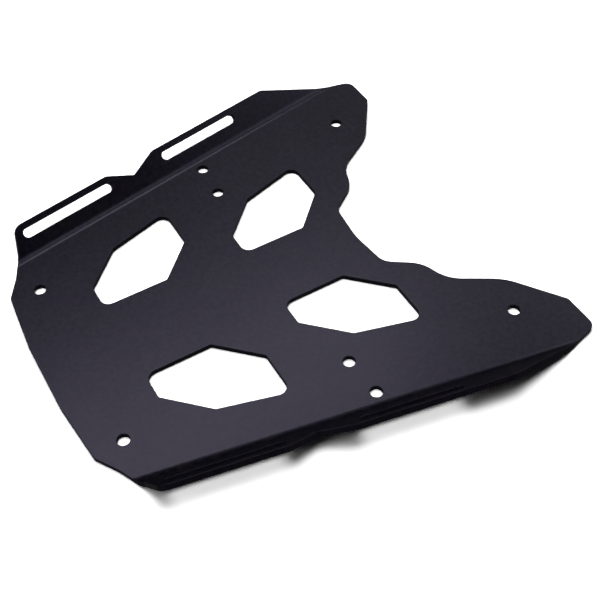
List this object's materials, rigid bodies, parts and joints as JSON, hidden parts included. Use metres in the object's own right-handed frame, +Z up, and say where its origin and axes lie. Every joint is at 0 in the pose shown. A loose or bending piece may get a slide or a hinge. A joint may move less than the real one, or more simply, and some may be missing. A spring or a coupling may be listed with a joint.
{
  "type": "motorcycle rear luggage rack",
  "caption": "Flat luggage rack for a motorcycle's tail, cut from sheet metal, with angled windows, bolt holes, forward horns and side flanges folded up with strap slots.",
  "frame": {"origin": "midway across the rack and midway along it, on the underside of the plate", "axes": "+X across the rack, +Y towards the two horns, +Z up, square to the plate"},
  "size_m": [0.3506, 0.3478, 0.0205],
  "materials": {
    "powder_coat": "matte, fine-textured powder coat"
  },
  "bodies": {
    "root": {"rack_plate": "powder_coat"}
  },
  "joints": []
}
